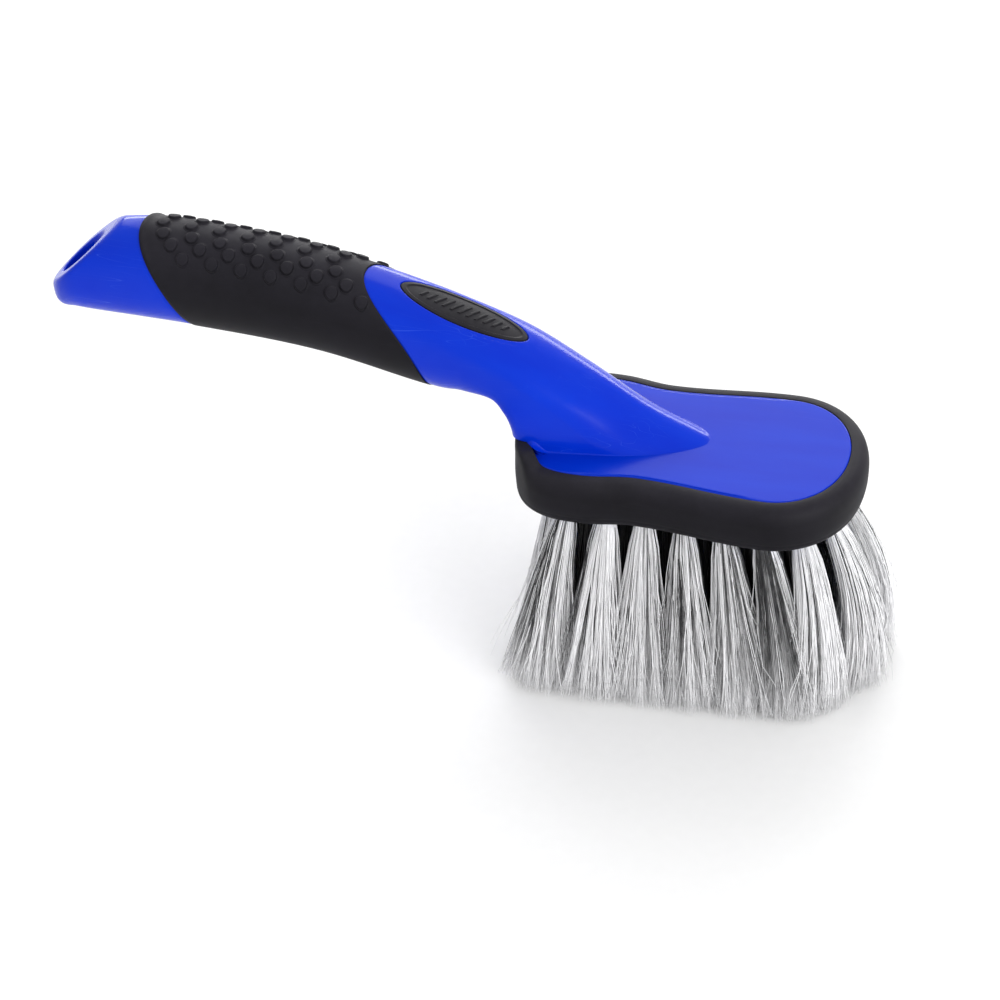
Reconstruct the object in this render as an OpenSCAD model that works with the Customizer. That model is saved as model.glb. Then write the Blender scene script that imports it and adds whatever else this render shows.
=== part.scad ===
// Hand brush for washing wheels: a moulded body with a soft grip, a soft head
// bumper and stapled tufts. The tips of the bristles stand on z = 0 and the
// origin lies under the middle of the head, +X towards the front of the head.

/* [Head] */
// Height of the block's top face above the bristle tips
block_top = 82; // [76:0.5:88]
// Thickness of the block
block_thick = 17.6; // [16:0.1:20]
// Half width of the block at its front lobe
front_w = 28.5; // [27:0.5:30]
// Half width of the block at its waist
waist_w = 25.2; // [24:0.2:27]
// Half width of the block at its rear lobe
rear_w = 27.7; // [26:0.1:29]
// Front end of the block
front_end = 54; // [52:0.5:56]
// Rear end of the block
rear_end = -50.4; // [-52:0.2:-50]

/* [Bumper] */
// Thickness of the soft bumper round the block
bumper_t = 6; // [4:0.2:7]
// How far the bumper rises behind the neck
rear_lip = 3.2; // [2:0.1:4]

/* [Handle] */
// Depth of the recess that the soft grip fills
sleeve_t = 2.2; // [1.6:0.1:2.8]
// Top seam of the grip at the tail
seam_tail = -184; // [-188:1:-180]
// Top seam of the grip at the neck
seam_neck = -107; // [-110:1:-104]
// Thickness of the plastic round the gas channel
wall = 4.4; // [3.6:0.1:5.2]
// Radius of the hanging hole
hang_r = 7.5; // [6:0.5:8]
// Distance of the hanging hole from the tail
hang_in = 11; // [10.5:0.5:14]

/* [Grip dots] */
// Dots along one row
dot_cols = 7; // [5:1:8]
// Distance between dots along a row
dot_pitch = 9.8; // [9:0.1:10.5]
// Radius of a dot
dot_r = 2.25; // [1.8:0.05:2.6]
// Height of a dot
dot_h = 1.1; // [0.8:0.1:1.4]

/* [Badge] */
// Half length of the oval inlay
badge_a = 22.6; // [18:0.2:23]
// Half width of the oval inlay
badge_b = 7.4; // [6:0.2:8.4]
// Depth of the oval inlay
badge_t = 1.6; // [1.2:0.1:2]

/* [Tufts] */
// Radius of the holes that hold the tufts
hole_r = 3; // [2.6:0.1:3.2]
// Depth of the holes
hole_depth = 12; // [10:0.5:13]
// Pitch of the tufts along the head
tuft_pitch = 13; // [12.8:0.1:13.2]
// Radius of an outer tuft at its tip
outer_tip_r = 7.8; // [6:0.2:8]
// Radius of an inner tuft at its tip
inner_tip_r = 5.6; // [4.5:0.1:6]

/* [Hidden] */
block_bottom = block_top - block_thick;
front_x = 30.6;          // widest place of the front lobe
waist_x = -11;           // narrowest place of the block
rear_x = -30;            // widest place of the rear lobe
crest_tip = 8;           // where the neck's crest meets the block
tail_end = -218.5;
tail_round = 13;         // plan radius of the tail
tail_cut_z = 115.4;      // lower edge of the slanted face
tail_slant = 43;         // slope of that face
ring = 40;               // points round a section
step = 5.5;              // distance between sections
tail_rows = [0.25, 1.5, 4, 8];  // how far in from the tail its first sections stand
foot_depth = 3;          // how far the neck's foot goes into the block
channel_start = seam_tail + 4;  // ends of the gas channel
channel_end = -72;
lip_z = block_top + rear_lip;

// Crest of the handle and neck in the middle plane, tail to block
crest_line = [[-220, 136], [-200, 138.2], [-182, 140.8], [-155, 139.2], [-130, 136.8],
    [-105, 131.5], [-80, 123.7], [-55, 114.4], [-30, 101.8], [-10, 90.1], [8, block_top]];
// Underside: for each place on the crest, where the same section ends below
under_x = [[-220, -220], [-207, -206.5], [-184, -165], [-145, -123], [-107, -85],
    [-85, -74.2], [-55, -63.6], [-30, -58.5], [-10, -56.1], [8, -55.6]];
under_z = [[-220, 106.6], [-207, 106.4], [-184, 105.2], [-145, 101.8], [-107, 93.4],
    [-85, 94.2], [-55, 96], [-30, 93.4], [-10, 88], [8, block_top]];
// Half width of each section, how much wider it is at its rear and its squareness
width_line = [[-220, 12.8], [-207, 13], [-184, 13.8], [-145, 14.1], [-107, 14.2],
    [-85, 14.5], [-55, 15.3], [-30, 15.8], [-10, 15.9], [8, 15.7]];
skew_line = [[-85, 0], [-55, 0.1], [-30, 0.22], [-10, 0.27], [8, 0.27]];
bow_line = [[-184, 0], [-145, 2.5], [-107, 5.5], [-85, 5], [-55, 2.5], [-30, 0.5], [8, 0]];
front_power = [[-85, 2.3], [-55, 2.2], [-30, 2], [-10, 1.9], [8, 1.95]];
rear_power = [[-107, 2.3], [-85, 2.8], [-55, 4.2], [-30, 6], [8, 7]];

// ---------- curves ----------
// Power that keeps its sign, for superellipses
function spow(v, e) = sign(v) * pow(abs(v), e);
// Index of the span of p that holds x
function span(p, x, i = 0) = (i >= len(p) - 2 || x < p[i + 1][0]) ? i : span(p, x, i + 1);
function slope(p, i) = let (a = max(i - 1, 0), b = min(i + 1, len(p) - 1))
    (p[b][1] - p[a][1]) / (p[b][0] - p[a][0]);
// Smooth curve through the points of p, flat beyond its ends
function curve(p, x) =
    x <= p[0][0] ? p[0][1] : x >= p[len(p) - 1][0] ? p[len(p) - 1][1] :
    let (i = span(p, x), h = p[i + 1][0] - p[i][0], t = (x - p[i][0]) / h)
    p[i][1] * (1 + 2 * t) * pow(1 - t, 2) + slope(p, i) * h * t * pow(1 - t, 2)
    + p[i + 1][1] * t * t * (3 - 2 * t) - slope(p, i + 1) * h * t * t * (1 - t);
function ease(a, b, t) = a + (b - a) * (1 - cos(180 * min(max(t, 0), 1))) / 2;

// ---------- handle sections ----------
// Plan rounding of the tail
function tail_cap(s) = let (d = (tail_end + tail_round - s) / tail_round)
    d <= 0 ? 1 : sqrt(max(1 - d * d, 0));
// Point of section s at angle a, a inset of d from the outer skin
function skin(s, a, d = 0) =
    let (top = [s, curve(crest_line, s)],
        low = [curve(under_x, s), curve(under_z, s)],
        dir = (top - low) / norm(top - low),
        half = norm(top - low) / 2 - d,
        mid = (top + low) / 2,
        power = curve(cos(a) > 0 ? front_power : rear_power, s),
        c = spow(cos(a), 2 / power),
        w = spow(sin(a), 2 / power),
        at = mid + dir * half * c,
        wide = (curve(width_line, s) * tail_cap(s) - d) * (1 - curve(skew_line, s) * c))
    [at[0] + curve(bow_line, s) * (1 - c * c), wide * w, at[1]];
function section(s, d = 0) = [for (j = [0 : ring - 1]) skin(s, 360 * j / ring, d)];
// Evenly spaced places from a to b, both included
function stations(a, b) = let (n = ceil((b - a) / step)) [for (i = [0 : n]) a + (b - a) * i / n];

// Faces between rows of points; a closed loft joins its last row to its first
function loft_faces(rows, closed) =
    [for (i = [0 : rows - (closed ? 1 : 2)], j = [0 : ring - 1])
        let (a = i * ring + j, b = i * ring + (j + 1) % ring,
            c = ((i + 1) % rows) * ring + (j + 1) % ring, d = ((i + 1) % rows) * ring + j)
        each [[a, b, c], [a, c, d]]];
module loft(sections, closed = false) {
    rows = len(sections);
    ends = closed ? [] : [[for (j = [ring - 1 : -1 : 0]) j],
        [for (j = [0 : ring - 1]) (rows - 1) * ring + j]];
    polyhedron([for (s = sections) each s], concat(loft_faces(rows, closed), ends));
}

// Sections round the tail's plan curve
function tail_stations() = [for (r = tail_rows) tail_end + r];
// Neck's foot carried down into the block
function foot() = [for (p = section(crest_tip, foot_depth)) [p[0], p[1], block_top - foot_depth]];
module handle_skin(d = 0) {
    loft(concat([for (s = concat(tail_stations(), stations(tail_end + tail_round, crest_tip)))
        section(s, d)], [foot()]));
}
// Handle with the grip's recess turned down into it
module handle_core() {
    loft(concat(
        [for (s = concat(tail_stations(), stations(tail_end + tail_round, seam_tail))) section(s)],
        [for (s = stations(seam_tail, seam_neck)) section(s, sleeve_t)],
        [for (s = stations(seam_neck, crest_tip)) section(s)],
        [foot()]));
}
// Sealed channel that the gas leaves inside the thick handle
module gas_channel() {
    loft([for (s = stations(channel_start, channel_end)) section(s, wall + sleeve_t)]);
}

// ---------- head outline ----------
front_power_plan = 2.1;
rear_power_plan = 3;
cap_steps = 22;
side_steps = 8;
function side_w(x) = x < waist_x ? ease(rear_w, waist_w, (x - rear_x) / (waist_x - rear_x))
    : ease(waist_w, front_w, (x - waist_x) / (front_x - waist_x));
function lobe(x, length, width, power, a) =
    [x + length * spow(cos(a), 2 / power), width * spow(sin(a), 2 / power)];
outline = concat(
    [for (i = [0 : cap_steps]) lobe(front_x, front_end - front_x, front_w, front_power_plan,
        -90 + 180 * i / cap_steps)],
    [for (i = [1 : side_steps - 1]) let (x = front_x + (rear_x - front_x) * i / side_steps)
        [x, side_w(x)]],
    [for (i = [0 : cap_steps]) lobe(rear_x, rear_x - rear_end, rear_w, rear_power_plan,
        90 + 180 * i / cap_steps)],
    [for (i = [1 : side_steps - 1]) let (x = rear_x + (front_x - rear_x) * i / side_steps)
        [x, -side_w(x)]]);
// Outward normal of the outline at point i
function outward(i) = let (n = len(outline), t = outline[(i + 1) % n] - outline[(i + n - 1) % n])
    [t[1], -t[0]] / norm(t);
function grown(d) = [for (i = [0 : len(outline) - 1]) outline[i] + d * outward(i)];
// Section of the bumper: distance out from the block and height above its bottom,
// beside the block and behind the neck, where the lip rises
rim_side = [[0, 0], [0, block_thick], [1.6, block_thick], [3.6, block_thick - 0.6],
    [5.1, block_thick - 2.2], [5.9, block_thick - 4.8], [6, 9.5], [5.7, 5.5], [4.7, 2],
    [3.2, 0.3], [1.6, 0]];
lip_top = block_thick + rear_lip;
rim_rear = [[0, 0], [0, lip_top], [2.4, lip_top], [4.4, lip_top], [5.3, lip_top - 0.4],
    [5.6, block_thick - 2.6], [5.8, 9.5], [5.5, 5.5], [4.6, 2], [3.2, 0.3], [1.6, 0]];
rim_drawn = 6;           // thickness that those sections are drawn at
rim_clear = 12;          // how far out the neck makes room for the bumper
lip_start = -43.5;       // where the lip begins to rise
lip_run = 5;             // over which length it rises
module rim() {
    n = len(outline);
    m = len(rim_side);
    points = [for (i = [0 : n - 1]) let (k = ease(0, 1, (lip_start - outline[i][0]) / lip_run))
        for (p = rim_side * (1 - k) + rim_rear * k)
        let (o = outline[i] + outward(i) * p[0] * bumper_t / rim_drawn)
        [o[0], o[1], block_bottom + p[1]]];
    faces = [for (i = [0 : n - 1], j = [0 : m - 1])
        let (a = i * m + j, b = i * m + (j + 1) % m,
            c = ((i + 1) % n) * m + (j + 1) % m, d = ((i + 1) % n) * m + j)
        each [[a, c, b], [a, d, c]]];
    polyhedron(points, faces);
}
// Room that the bumper takes below the neck's overhang
module rim_room() {
    translate([0, 0, block_bottom]) linear_extrude(lip_z - block_bottom)
        difference() { polygon(grown(rim_clear)); polygon(outline); }
}

// ---------- badge ----------
badge_x = -74;           // middle of the badge on the crest
badge_run = 15;          // half of the length that its tilt is taken over
badge_below = 8;         // how far its outline is drawn below and above the crest
badge_above = 6;
badge_points = 36;
module badge_prism() {
    top = curve(crest_line, badge_x);
    rise = curve(crest_line, badge_x + badge_run) - curve(crest_line, badge_x - badge_run);
    translate([badge_x, 0, top]) rotate([0, -atan(rise / (2 * badge_run)), 0])
        translate([0, 0, -badge_below]) linear_extrude(badge_below + badge_above)
        polygon([for (i = [0 : badge_points - 1]) let (a = 360 * i / badge_points)
            [badge_a * cos(a), badge_b * sin(a)]]);
}

// ---------- tufts ----------
// Roots on the block's underside: [x, y, lean x, lean y, tip radius, tip height]
side_y = 22;             // rows beside the middle
inner_y = 11;
side_first = -35;        // where the rows begin
inner_first = -28.5;
centre_first = -27.5;
front_r = 22.5;          // the front tufts lie on this arc
front_arc_x = 27;
arc_step = 33;
rear_lean = -7;          // lean of the tufts at the rear
inner_share = 0.7;       // how much of the outer tufts' lean the inner ones have
// Tufts lean forward more and outward less towards the front
function lean_x(x) = 4 + 0.25 * x;
function lean_y(x) = 12.4 - 0.07 * x;
function mirror_pair(p) = [p, [p[0], -p[1], p[2], -p[3], p[4], p[5]]];
side_row = [for (i = [0 : 5]) let (x = side_first + tuft_pitch * i)
    each mirror_pair([x, i == 0 ? side_y - 0.8 : side_y,
        i == 0 ? rear_lean : lean_x(x), lean_y(x), outer_tip_r, 0])];
front_row = [for (k = [0.5, 1.5]) let (a = arc_step * k, x = front_arc_x + front_r * cos(a))
    each mirror_pair([x, front_r * sin(a), lean_x(x) - 1, 11 * sin(a) + 1, outer_tip_r - 0.6,
        k > 1 ? 0 : 4])];
rear_row = [[-41, 0, rear_lean, 0, outer_tip_r - 1.6, 0],
    each mirror_pair([-40, 11, rear_lean, 5.5, outer_tip_r - 1.6, 0])];
inner_row = [for (i = [0 : 4]) let (x = inner_first + tuft_pitch * i)
    each mirror_pair([x, inner_y, inner_share * lean_x(x), 5, inner_tip_r, 0])];
inner_front = mirror_pair([34.5, 6.4, 9.5, 2.5, inner_tip_r, 0]);
centre_row = [for (i = [0 : 4]) let (x = centre_first + tuft_pitch * i)
    [x, 0, inner_share * lean_x(x), 0, inner_tip_r - 0.4, 0]];
tufts = concat(side_row, front_row, rear_row, inner_row, inner_front, centre_row);
function tuft_name(i) = str("tuft_", i < 9 ? "0" : "", i + 1);
tuft_gap = 0.05;         // between a tuft's root and its hole
root_gap = 0.1;          // between a tuft's root and the end of its hole
root_sides = 32;
anchor = [0.5, 2 * hole_r + 0.8, 2];  // staple that is driven across a hole
anchor_in = hole_depth - 2.2;         // depth of its middle
tuft_trim = 4;           // how much of a leaning tuft is trimmed off at z = 0
trim_room = 200;         // width of the block that keeps what is above z = 0
// Outline of a tuft below the block: [radius as a share of the tip's, more radius, share of the drop]
tuft_outline = [[0.62, 0.9, 0.4], [1, 0, 0.86], [1, -0.8, 1]];

// Turns and moves what is drawn down from the root to tuft t
module at_tuft(t) {
    translate([t[0], t[1], block_bottom])
        rotate([t[3], -t[2], 0]) children();
}
module tuft_hole(t) {
    at_tuft(t) translate([0, 0, -hole_r])
        cylinder(r = hole_r, h = hole_depth + hole_r, $fn = root_sides);
}
module anchor_plate(t, grow = 0) {
    at_tuft(t) translate([0, 0, anchor_in]) cube(anchor + [grow, grow, grow], center = true);
}
module tuft(t) {
    drop = (block_bottom - t[5]) / (cos(t[2]) * cos(t[3]));
    past = t[5] > 0 ? 0 : tuft_trim;
    difference() {
        intersection() {
            at_tuft(t) rotate_extrude($fn = root_sides) polygon(concat(
                [[0, hole_depth - root_gap], [hole_r - tuft_gap, hole_depth - root_gap],
                    [hole_r - tuft_gap, 0]],
                [for (p = tuft_outline) [t[4] * p[0] + p[1], -drop * p[2]]],
                [[t[4] / 2, -drop - past], [0, -drop - past]]));
            translate([-trim_room / 2, -trim_room / 2, 0]) cube([trim_room, trim_room, block_top]);
        }
        anchor_plate(t, root_gap);
    }
}

// ---------- sub-parts ----------
module brush_body() {
    color("royalblue") difference() {
        union() {
            difference() { handle_core(); rim_room(); }
            translate([0, 0, block_bottom]) linear_extrude(block_thick) polygon(outline);
        }
        gas_channel();
        tail_cut();
        hang_hole();
        difference() { badge_prism(); handle_skin(badge_t); }
        for (t = tufts) tuft_hole(t);
    }
}
// Slanted face of the tail
cut_block = [80, 60, 40];  // what is taken off above it
cut_behind = 20;
module tail_cut() {
    translate([tail_end, 0, tail_cut_z]) rotate([0, -tail_slant, 0])
        translate([-cut_behind, -cut_block[1] / 2, 0]) cube(cut_block);
}
hang_span = [100, 145];    // heights between which the hole is cut
hang_sides = 48;
module hang_hole() {
    translate([tail_end + hang_in, 0, hang_span[0]])
        cylinder(r = hang_r, h = hang_span[1] - hang_span[0], $fn = hang_sides);
}
module grip_sleeve() {
    color([0.14, 0.13, 0.15]) union() {
        rows = stations(seam_tail, seam_neck);
        loft(concat([for (s = rows) section(s)],
            [for (i = [len(rows) - 1 : -1 : 0]) section(rows[i], sleeve_t)]), closed = true);
        for (r = [-3 : 3], c = [0 : dot_cols - 1]) grip_dot(r, c);
    }
}
// Rows run along the handle; the outer ones sit further forward
dot_angle = [0, 18, 33, 49];
dot_shift = [0, 1.32, 3.85, 6.435];
dot_first = -177;
dot_root = 0.8;          // how deep a dot is rooted in the sleeve
dot_side = 0.4;          // height of its straight side
dot_top = 0.3;           // height of its narrower top
dot_draft = 0.35;        // how much narrower that is
dot_sides = 16;
module grip_dot(r, c) {
    s = dot_first + dot_shift[abs(r)] + dot_pitch * c;
    a = sign(r) * dot_angle[abs(r)];
    n = cross(skin(s, a + 2) - skin(s, a - 2), skin(s + 1, a) - skin(s - 1, a));
    u = n / norm(n);
    translate(skin(s, a)) rotate([0, acos(u[2]), atan2(u[1], u[0])]) hull() {
        translate([0, 0, -dot_root]) cylinder(r = dot_r, h = dot_root + dot_side, $fn = dot_sides);
        translate([0, 0, dot_h - dot_top])
            cylinder(r = dot_r - dot_draft, h = dot_top, $fn = dot_sides);
    }
}
module badge_inlay() {
    color([0.15, 0.14, 0.16]) intersection() {
        badge_prism();
        difference() { handle_skin(); handle_skin(badge_t); }
    }
}
module head_bumper() { color([0.14, 0.13, 0.15]) rim(); }
module tuft_anchors() { color("silver") for (t = tufts) anchor_plate(t); }

brush_body();
grip_sleeve();
badge_inlay();
head_bumper();
tuft_anchors();
for (i = [0 : len(tufts) - 1])
    color(i < 19 ? "gainsboro" : "dimgray") tuft(tufts[i]);
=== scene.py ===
import math

import bpy
import numpy as np
from mathutils import Matrix, Vector
from mathutils.geometry import delaunay_2d_cdt


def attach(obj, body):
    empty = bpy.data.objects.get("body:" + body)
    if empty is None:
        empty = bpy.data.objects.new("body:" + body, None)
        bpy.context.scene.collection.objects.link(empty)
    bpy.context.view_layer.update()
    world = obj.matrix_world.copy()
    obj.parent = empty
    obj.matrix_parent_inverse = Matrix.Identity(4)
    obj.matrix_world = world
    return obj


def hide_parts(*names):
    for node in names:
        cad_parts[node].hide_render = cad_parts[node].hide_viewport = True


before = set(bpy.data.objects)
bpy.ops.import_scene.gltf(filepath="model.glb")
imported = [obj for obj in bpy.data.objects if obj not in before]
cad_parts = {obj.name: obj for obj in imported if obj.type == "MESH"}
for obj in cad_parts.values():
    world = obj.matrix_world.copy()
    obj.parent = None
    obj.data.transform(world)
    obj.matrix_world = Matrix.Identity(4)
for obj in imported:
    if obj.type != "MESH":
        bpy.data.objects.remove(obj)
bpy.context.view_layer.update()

# Everything below is worked out in millimetres and turned into metres by make_piece().
MM = 0.001

# ---------------------------------------------------------------- sizes of the frame
BLOCK_TOP, BLOCK_BOTTOM = 82.0, 64.4           # faces of the block over the bristle tips
FRONT_W, WAIST_W, REAR_W = 28.5, 25.2, 27.7    # half widths of the block at its lobes and waist
FRONT_X, WAIST_X, REAR_X = 30.6, -11.0, -30.0  # where along the block those widths are
FRONT_END, REAR_END = 54.0, -50.4
FRONT_LOBE, REAR_LOBE = 2.1, 3.0               # superellipse powers of the lobes
CREST_TIP = 8.0                                # where the neck's crest meets the block
TAIL_END, TAIL_ROUND = -219.4, 13.0            # end of the tail and its radius in plan
TAIL_CUT_Z, TAIL_SLANT = 115.6, math.radians(43)  # lower edge and slope of the slanted face
SEAM_TAIL, SEAM_NECK, SLEEVE_T = -184.0, -107.0, 2.2
HANG_X, HANG_R = -207.5, 7.5
BADGE_X, BADGE_A, BADGE_B = -74.0, 22.6, 7.4   # middle and half axes of the oval badge
BADGE_RUN = 15.0                               # span that the badge's tilt is read over
REAR_LIP, LIP_X, LIP_RUN = 3.2, -42.0, 4.5     # rise of the bumper's lip, its start and run
FOOT_FLARE, FOOT_EDGE = 0.7, 0.45              # flare of the neck's foot and its rounding
HOLE_R, HOLE_DEPTH = 3.0, 12.0                 # holes of the tufts

# Crest of the handle and neck, and where each section ends below, as places along and heights
CREST_LINE = [(-220, 136.4), (-200, 138.9), (-182, 141.3), (-155, 139.9), (-130, 137.2),
              (-105, 131.5), (-80, 123.7), (-55, 114.4), (-30, 101.8), (-10, 90.1), (8, 82)]
UNDER_X = [(-220, -220), (-207, -206.5), (-184, -165), (-145, -123), (-107, -85),
           (-85, -74.2), (-55, -63.6), (-30, -58.5), (-10, -56.1), (8, -55.6)]
UNDER_Z = [(-220, 106.6), (-207, 106.4), (-184, 105.2), (-145, 101.8), (-107, 93.4),
           (-85, 94.2), (-55, 96.0), (-30, 93.4), (-10, 88.0), (8, 82)]
# Half widths, how much wider a section is below, its bow forward and its squareness
WIDTH_LINE = [(-220, 12.8), (-207, 13), (-184, 13.8), (-145, 14.1), (-107, 14.2),
              (-85, 14.5), (-55, 15.3), (-30, 15.8), (-10, 15.9), (8, 15.7)]
SKEW_LINE = [(-85, 0), (-55, 0.1), (-30, 0.22), (-10, 0.27), (8, 0.27)]
BOW_LINE = [(-184, 0), (-145, 2.5), (-107, 5.5), (-85, 5), (-55, 2.5), (-30, 0.5), (8, 0)]
FRONT_POWER = [(-85, 2.3), (-55, 2.2), (-30, 2.0), (-10, 1.9), (8, 1.95)]
REAR_POWER = [(-107, 2.3), (-85, 2.8), (-55, 4.2), (-30, 6.0), (8, 7.0)]


# ---------------------------------------------------------------- curves
def curve(points, x):
    """Cubic Hermite curve through points at x. The slope at a point is the difference of its
    two neighbours, and the curve is flat past both ends."""
    p = np.array(points, float)
    x = np.clip(x, p[0, 0], p[-1, 0])
    i = np.clip(np.searchsorted(p[:, 0], x, side="right") - 1, 0, len(p) - 2)
    near = np.arange(len(p))
    before, after = np.maximum(near - 1, 0), np.minimum(near + 1, len(p) - 1)
    slope = (p[after, 1] - p[before, 1]) / (p[after, 0] - p[before, 0])
    h = p[i + 1, 0] - p[i, 0]
    t = (x - p[i, 0]) / h
    return (p[i, 1] * (1 + 2 * t) * (1 - t) ** 2 + slope[i] * h * t * (1 - t) ** 2
            + p[i + 1, 1] * t * t * (3 - 2 * t) - slope[i + 1] * h * t * t * (1 - t))


def signed_power(v, power):
    """Absolute value raised to the power, with the sign of v."""
    return np.sign(v) * np.abs(v) ** power


def smooth_step(t):
    """3t^2 - 2t^3 between 0 and 1, flat outside."""
    t = np.clip(t, 0, 1)
    return t * t * (3 - 2 * t)


def cosine_ease(a, b, t):
    """Half a cosine wave from a to b as t goes from 0 to 1."""
    return a + (b - a) * (1 - np.cos(np.pi * np.clip(t, 0, 1))) / 2


def smooth_max(a, b, k):
    """Larger of a and b, with the crease between them rounded over a width k."""
    h = np.maximum(k - np.abs(a - b), 0) / k
    return np.maximum(a, b) + h * h * k / 4


def section_frame(s):
    """Middle, half length and direction, in the middle plane, of the handle section whose crest
    lies at x = s: the line from its underside point to its crest point."""
    top = np.stack([s, curve(CREST_LINE, s)], -1)
    low = np.stack([curve(UNDER_X, s), curve(UNDER_Z, s)], -1)
    gap = top - low
    length = np.linalg.norm(gap, axis=-1)
    return (top + low) / 2, length / 2, gap / length[..., None]


def section_point(s, c, w, inset):
    """Point of section s at share c of its half length and share w of its half width. Upper
    parts are narrower by the skew, and the section bows forward by (1 - c^2)."""
    mid, half, way = section_frame(s)
    at = mid + way * ((half - inset) * c)[..., None]
    wide = (curve(WIDTH_LINE, s) - inset) * (1 - curve(SKEW_LINE, s) * c)
    return np.stack([at[..., 0] + curve(BOW_LINE, s) * (1 - c * c), wide * w, at[..., 1]], -1)


def skin(s, a, inset=0.0):
    """Handle surface: superellipse section s at angle a, 0 at the crest and pi below, moved
    in by inset."""
    s, a, inset = np.broadcast_arrays(np.asarray(s, float), np.asarray(a, float), inset)
    power = np.where(np.cos(a) > 0, curve(FRONT_POWER, s), curve(REAR_POWER, s))
    return section_point(s, signed_power(np.cos(a), 2 / power),
                         signed_power(np.sin(a), 2 / power), inset)


def crown(s, w, inset=0.0):
    """Upper half of the same surface at share w of the half width, smooth across the crest."""
    s, w = np.broadcast_arrays(np.asarray(s, float), np.asarray(w, float))
    power = curve(FRONT_POWER, s)
    c = (1 - np.abs(w) ** power) ** (1 / power)
    return section_point(s, c, w, np.broadcast_to(inset, s.shape))


def crown_normal(s, w):
    """Unit normal of crown() from the cross product of its two differences."""
    e = 1e-3
    along = crown(s + e, w) - crown(s - e, w)
    across = crown(s, w + e) - crown(s, w - e)
    n = np.cross(along, across)
    return n / np.linalg.norm(n, axis=-1, keepdims=True)


# ---------------------------------------------------------------- shells and pieces
def grid_faces(rows, cols, wrap_rows=False, wrap_cols=True):
    """Quads between the neighbours of a grid of points, closed over each wrapped direction."""
    i = np.arange(rows if wrap_rows else rows - 1)[:, None]
    j = np.arange(cols if wrap_cols else cols - 1)[None, :]
    i2, j2 = (i + 1) % rows, (j + 1) % cols
    return np.stack([i * cols + j, i * cols + j2, i2 * cols + j2, i2 * cols + j],
                    -1).reshape(-1, 4)


def outward(points, faces):
    """The same shell with its faces turned so that its signed volume is positive."""
    volume = 0.0
    for f in faces:
        for k in range(1, f.shape[1] - 1):
            a, b, c = points[f[:, 0]], points[f[:, k]], points[f[:, k + 1]]
            volume += np.einsum("ij,ij->", a, np.cross(b, c))
    return points, faces if volume > 0 else [f[:, ::-1] for f in faces]


def capped(grid):
    """Closed shell of a stack of rings, with a fan of triangles over each end."""
    n, m = grid.shape[:2]
    points = np.concatenate([grid.reshape(-1, 3), grid[:1].mean(1), grid[-1:].mean(1)])
    j = np.arange(m)
    k = (j + 1) % m
    first = np.stack([k, j, np.full(m, n * m)], -1)
    last = np.stack([(n - 1) * m + j, (n - 1) * m + k, np.full(m, n * m + 1)], -1)
    return outward(points, [grid_faces(n, m), first, last])


def ring_shell(grid):
    """Closed shell of a grid that wraps both ways, like a torus."""
    return outward(grid.reshape(-1, 3), [grid_faces(*grid.shape[:2], wrap_rows=True)])


def joined(shells):
    """Several shells as one list of points and faces."""
    points, faces, count = [], [], 0
    for p, fs in shells:
        points.append(p)
        faces += [f + count for f in fs]
        count += len(p)
    return np.concatenate(points), faces


def make_piece(name, shell, material, nodes, values=None):
    """Mesh object of a shell given in millimetres. It rides on the body, stands for its CAD
    nodes, which it hides, and takes the given material. values is a number per point, kept as
    "tone"."""
    points, faces = shell
    mesh = bpy.data.meshes.new(name)
    corners = np.concatenate([f.ravel() for f in faces]).astype(np.int32)
    sizes = np.concatenate([np.full(len(f), f.shape[1]) for f in faces])
    mesh.vertices.add(len(points))
    mesh.vertices.foreach_set("co", (points * MM).astype(np.float32).ravel())
    mesh.loops.add(len(corners))
    mesh.loops.foreach_set("vertex_index", corners)
    mesh.polygons.add(len(sizes))
    mesh.polygons.foreach_set("loop_start", (np.cumsum(sizes) - sizes).astype(np.int32))
    mesh.update(calc_edges=True)
    mesh.shade_smooth()
    if values is not None:
        tone = mesh.attributes.new("tone", "FLOAT", "POINT")
        tone.data.foreach_set("value", values.astype(np.float32))
    mesh.materials.append(material)
    piece = bpy.data.objects.new(name, mesh)
    bpy.context.scene.collection.objects.link(piece)
    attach(piece, "root")
    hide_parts(*nodes)
    return piece


# ---------------------------------------------------------------- shader groups
def shader_group(name, inputs, outputs):
    """Empty shader group with float inputs {name: default} and float outputs."""
    group = bpy.data.node_groups.new(name, "ShaderNodeTree")
    for label, value in inputs.items():
        group.interface.new_socket(label, in_out="INPUT", socket_type="NodeSocketFloat"
                                   ).default_value = value
    for label in outputs:
        group.interface.new_socket(label, in_out="OUTPUT", socket_type="NodeSocketFloat")
    return group, Net(group)


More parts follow.
